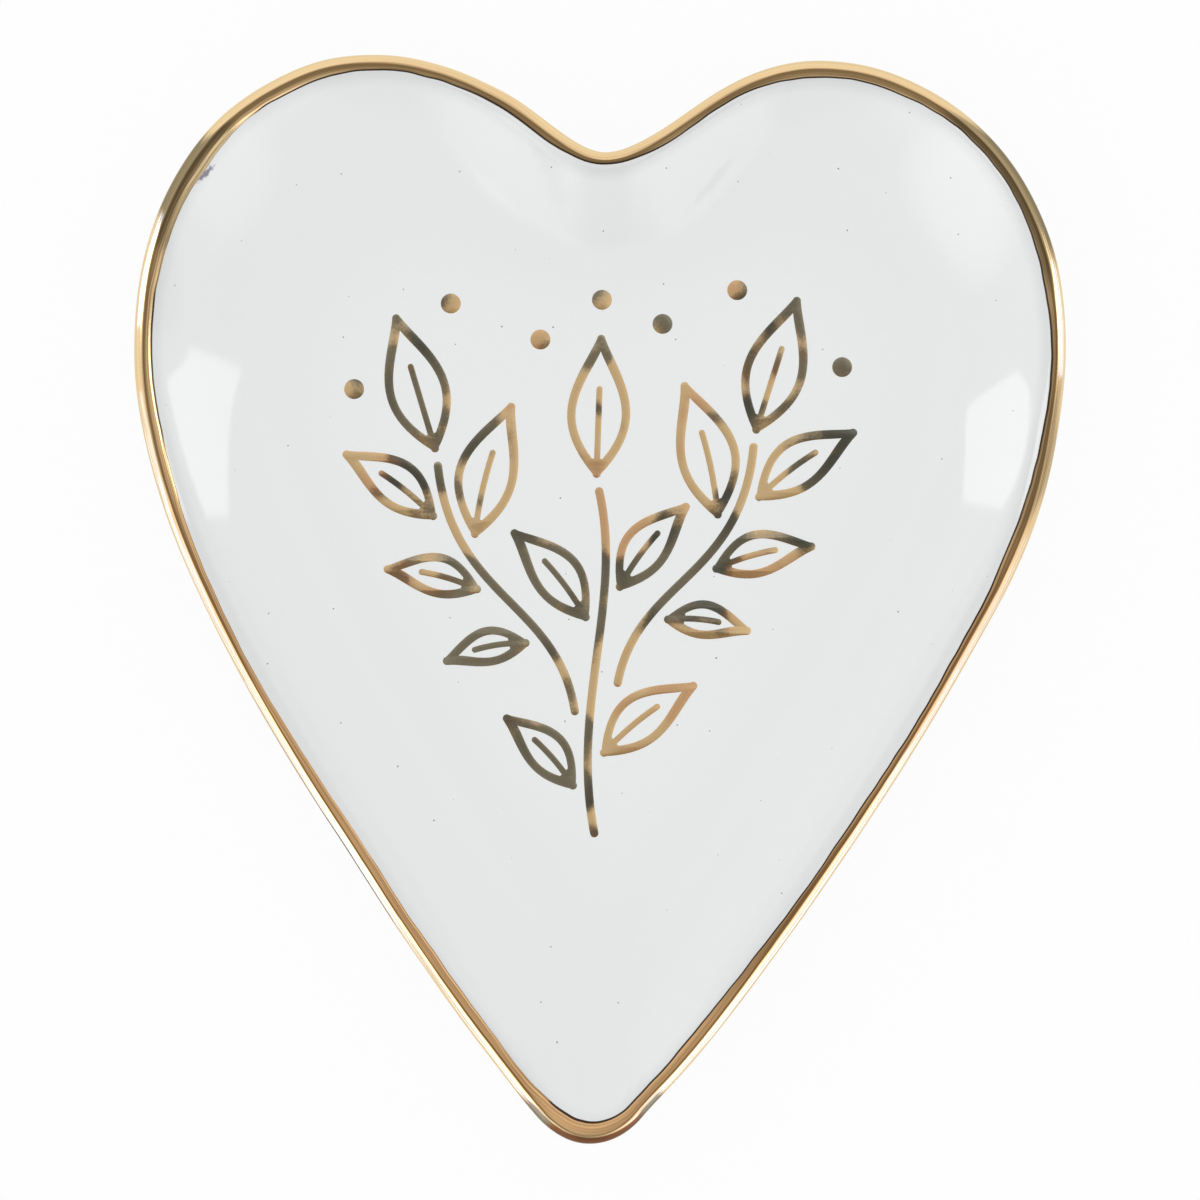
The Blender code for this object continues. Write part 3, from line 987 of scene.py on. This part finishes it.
def makeSprig(s):
    offset = s["lineWidth"] / 2 + s["leafGap"]
    for branch, (ends, leaves) in s["branches"].items():
        path = interpolate_bezier(*[sprigPoint(share) for share in ends], s["stemPoints"])
        outline = stemOutline(path, s["lineWidth"] / 2)
        goldFilm(branch + "Stem", branch + "_stem", [outline], s["film"])
        for number, (share, side, tip) in enumerate(leaves, 1):
            where = share * (len(path) - 1)
            step = min(int(where), len(path) - 2)
            along = (path[step + 1] - path[step]).normalized()
            aim = along if side == 0 else side * Vector((-along.y, along.x))
            base = path[step].lerp(path[step + 1], where - step) + offset * aim
            outlines = leafOutlines(base, sprigPoint(tip), -side * s["bow"], s)
            goldFilm(f"{branch}Leaf{number}", f"{branch}_leaf_{number}", outlines, s["film"])
    for number, share in enumerate(s["berries"], 1):
        turns = [2 * math.pi * i / s["berryPoints"] for i in range(s["berryPoints"])]
        middle = sprigPoint(share)
        dot = [middle + s["berryRadius"] * Vector((math.cos(t), math.sin(t))) for t in turns]
        goldFilm(f"berry{number}", f"berry_{number}", [dot], s["film"])
    print("sprig drawn:", len(s["branches"]), "stems and", len(s["berries"]), "berries")


makeSprig(leafSprig)


# Pale table under the dish
table = {
    "size": 6.0,
    "colour": colour(0.97, 0.97, 0.97),
    "roughness": 0.9,
    "white": 0.88,             # share of plain white that it shows, which leaves a soft shadow
}


def makeTable(t):
    bpy.ops.object.select_all(action="DESELECT")
    bpy.ops.mesh.primitive_plane_add(size=t["size"])
    floor = bpy.context.object
    floor.name = "table"
    finish, wire, shader = newFinish("paleTable")
    tree = finish.node_tree
    shader.inputs["Base Color"].default_value = t["colour"]
    shader.inputs["Roughness"].default_value = t["roughness"]
    shader.inputs["Specular IOR Level"].default_value = 0.0
    seen = wire.node("ShaderNodeLightPath", {}, {}, "Is Camera Ray")
    mirrored = wire.node("ShaderNodeLightPath", {}, {}, "Is Glossy Ray")
    through = wire.node("ShaderNodeLightPath", {}, {}, "Is Transmission Ray")
    white = wire.node("ShaderNodeEmission", {}, {"Color": colour(1, 1, 1), "Strength": 1.0})
    share = (seen + mirrored + through) * t["white"]
    shaders = {0: share, 1: Wire(tree, shader.outputs[0]), 2: white}
    mixed = wire.node("ShaderNodeMixShader", {}, shaders)
    tree.links.new(mixed.socket, tree.nodes["Material Output"].inputs["Surface"])
    floor.data.materials.append(finish)


makeTable(table)


# Studio: an even dome for matt surfaces. Gloss sees a room that is dark overhead, where the camera
# hangs, and bright round the sides, with two soft boxes. Low cards beside the dish light its band
studio = {
    "domeTop": 1.04,
    "domeSide": 0.76,
    "domeLeft": 0.05,                  # brighter on the left by this, and darker on the right
    "overhead": 0.25,
    "overheadWarm": colour(1.0, 0.90, 0.74),
    "upper": 0.60,
    "horizon": 1.10,
    "overheadAim": (-90, 86),
    "overheadEdges": (11, 43),         # degrees off that
    "horizonEdges": (45, 80),          # degrees off straight up
    # darker places: azimuth, elevation, full within, gone beyond, level left
    "flags": (
        (-90, 0, 16, 30, 0.44),
        (-8, 5, 5, 11, 0.40),
    ),
    # brighter places: azimuth, elevation, full within, gone beyond, level added
    "glows": (
        (-37, 22, 4, 20, 0.9),
        (-142, 25, 4, 24, 1.5),
        (-54, 6, 3, 22, 0.45),
        (-122, 8, 3, 22, 0.45),
        (34, 46, 3, 34, 0.22),
    ),
    # soft boxes: corners as azimuth and elevation
    "boxes": (
        ((1, 17), (2, 44), (15, 27), (22.8, 14), (22.6, 2.5), (8, 4.5)),
        ((176.5, 11.5), (172, 35), (160.3, 23), (160.2, 3.3), (165.3, 1.5), (170.2, 2), (174.2, 6.8)),
    ),
    "boxLevel": 2.3,
    "boxEdge": 0.012,
    # low cards beside the dish: two ends from above, lowest and highest, radiance
    "cardTint": (0.65, 1.15, 3.00),    # cool, so that gold mirrors them nearly white
    "cards": {
        "cardRight": ((0.0217, -0.0878), (0.0668, -0.0193), 0.0155, 0.0195, 1.05),
        "cardRightFade1": ((0.0668, -0.0193), (0.0701, -0.0143), 0.0155, 0.0195, 0.80),
        "cardRightFade2": ((0.0701, -0.0143), (0.0734, -0.0093), 0.0155, 0.0195, 0.62),
        "cardRightFade3": ((0.0734, -0.0093), (0.0767, -0.0043), 0.0155, 0.0195, 0.46),
        "cardRightFade4": ((0.0767, -0.0043), (0.0800, 0.0007), 0.0155, 0.0195, 0.30),
        "cardLeft": ((-0.0217, -0.0857), (-0.0833, 0.0078), 0.0155, 0.0195, 1.05),
        "cardLeftFade1": ((-0.0833, 0.0078), (-0.0882, 0.0153), 0.0155, 0.0195, 0.72),
        "cardLeftFade2": ((-0.0882, 0.0153), (-0.0931, 0.0228), 0.0155, 0.0195, 0.42),
        "cardUpperLeft": ((-0.0896, 0.0365), (-0.0849, 0.0609), 0.0160, 0.0212, 1.20),
        "cardUpperRight": ((0.0870, 0.0534), (0.0899, 0.0290), 0.0160, 0.0212, 1.20),
    },
}


def heading(azimuth, elevation):
    azimuth, elevation = math.radians(azimuth), math.radians(elevation)
    flat = math.cos(elevation)
    return Vector((flat * math.cos(azimuth), flat * math.sin(azimuth), math.sin(elevation)))


def makeStudio(s):
    world = bpy.data.worlds.new("studioRoom")
    bpy.context.scene.world = world
    world.use_nodes = True
    wire = Wire(world.node_tree)
    aim = wire.node("ShaderNodeTexCoord", {}, {}, "Generated")

    def towards(way):                  # cosine of the angle off a direction
        ways = {0: aim, 1: way}
        return wire.node("ShaderNodeVectorMath", {"operation": "DOT_PRODUCT"}, ways, "Value")

    def cosines(angles):
        return [math.cos(math.radians(angle)) for angle in reversed(angles)]

    rise = towards((0, 0, 1))
    overhead = towards(heading(*s["overheadAim"]))
    overheadEdges = cosines(s["overheadEdges"])
    level = overhead.ease(*overheadEdges, s["upper"], s["overhead"])
    level = level + rise.ease(*cosines(s["horizonEdges"]), s["horizon"] - s["upper"], 0.0)
    for azimuth, elevation, full, gone, left in s["flags"]:
        level = level * towards(heading(azimuth, elevation)).ease(*cosines((full, gone)), 1.0, left)
    for azimuth, elevation, full, gone, added in s["glows"]:
        level = level + towards(heading(azimuth, elevation)).ease(*cosines((full, gone)), 0.0, added)
    for corners in s["boxes"]:
        ways = [heading(*corner) for corner in corners]
        middle = sum(ways, Vector())
        box = s["boxLevel"]
        for here, there in zip(ways, ways[1:] + ways[:1]):
            side = here.cross(there).normalized()
            if side.dot(middle) < 0:
                side.negate()
            box = towards(side).ease(-s["boxEdge"], s["boxEdge"]) * box
        level = level + box
    gloss = wire.node("ShaderNodeLightPath", {}, {}, "Is Glossy Ray")
    dome = rise.ease(0.0, 1.0, s["domeSide"], s["domeTop"]) - towards((1, 0, 0)) * s["domeLeft"]
    level = dome + gloss * (level - dome)
    seen = wire.node("ShaderNodeLightPath", {}, {}, "Is Camera Ray")
    level = level + seen * (1 - level)
    backdrop = world.node_tree.nodes["Background"]
    warm = overhead.ease(*overheadEdges) * gloss
    cast = warm.between(colour(1.0, 1.0, 1.0), s["overheadWarm"])
    world.node_tree.links.new(cast.socket, backdrop.inputs["Color"])
    world.node_tree.links.new(level.socket, backdrop.inputs["Strength"])

    gilded = bpy.data.collections.new("gilded")       # the cards light only the gold band
    gilded.objects.link(bpy.data.objects["giltLip"])
    for name, (start, end, low, high, radiance) in s["cards"].items():
        start, end = Vector((*start, (low + high) / 2)), Vector((*end, (low + high) / 2))
        facing = (end - start).cross(Vector((0, 0, 1)))
        if facing.dot(start) > 0:
            facing.negate()
        bpy.ops.object.light_add(type="AREA", location=(start + end) / 2)
        card = bpy.context.object
        card.name = name
        card.data.color = s["cardTint"]
        card.data.shape = "RECTANGLE"
        card.data.size = (end - start).length
        card.data.size_y = high - low
        card.data.energy = radiance * math.pi * card.data.size * card.data.size_y
        card.rotation_euler = facing.to_track_quat("-Z", "Y").to_euler()
        card.visible_camera = False
        card.visible_diffuse = False
        card.light_linking.receiver_collection = gilded


makeStudio(studio)


# Camera: straight down on a long lens, turned a little as the dish lies in the picture
view = {
    "middle": (0.00031, 0.00014),
    "height": 0.92,
    "span": 0.15434,            # seen across the picture at the lip
    "turn": math.radians(0.82),
}


def makeCamera(v):
    bpy.ops.object.camera_add(location=(*v["middle"], v["height"]), rotation=(0, 0, v["turn"]))
    camera = bpy.context.object
    camera.data.lens = camera.data.sensor_width * (v["height"] - lipTop) / v["span"]
    bpy.context.scene.camera = camera


makeCamera(view)
bpy.context.scene.view_settings.view_transform = "Standard"
print("table, studio and camera set")
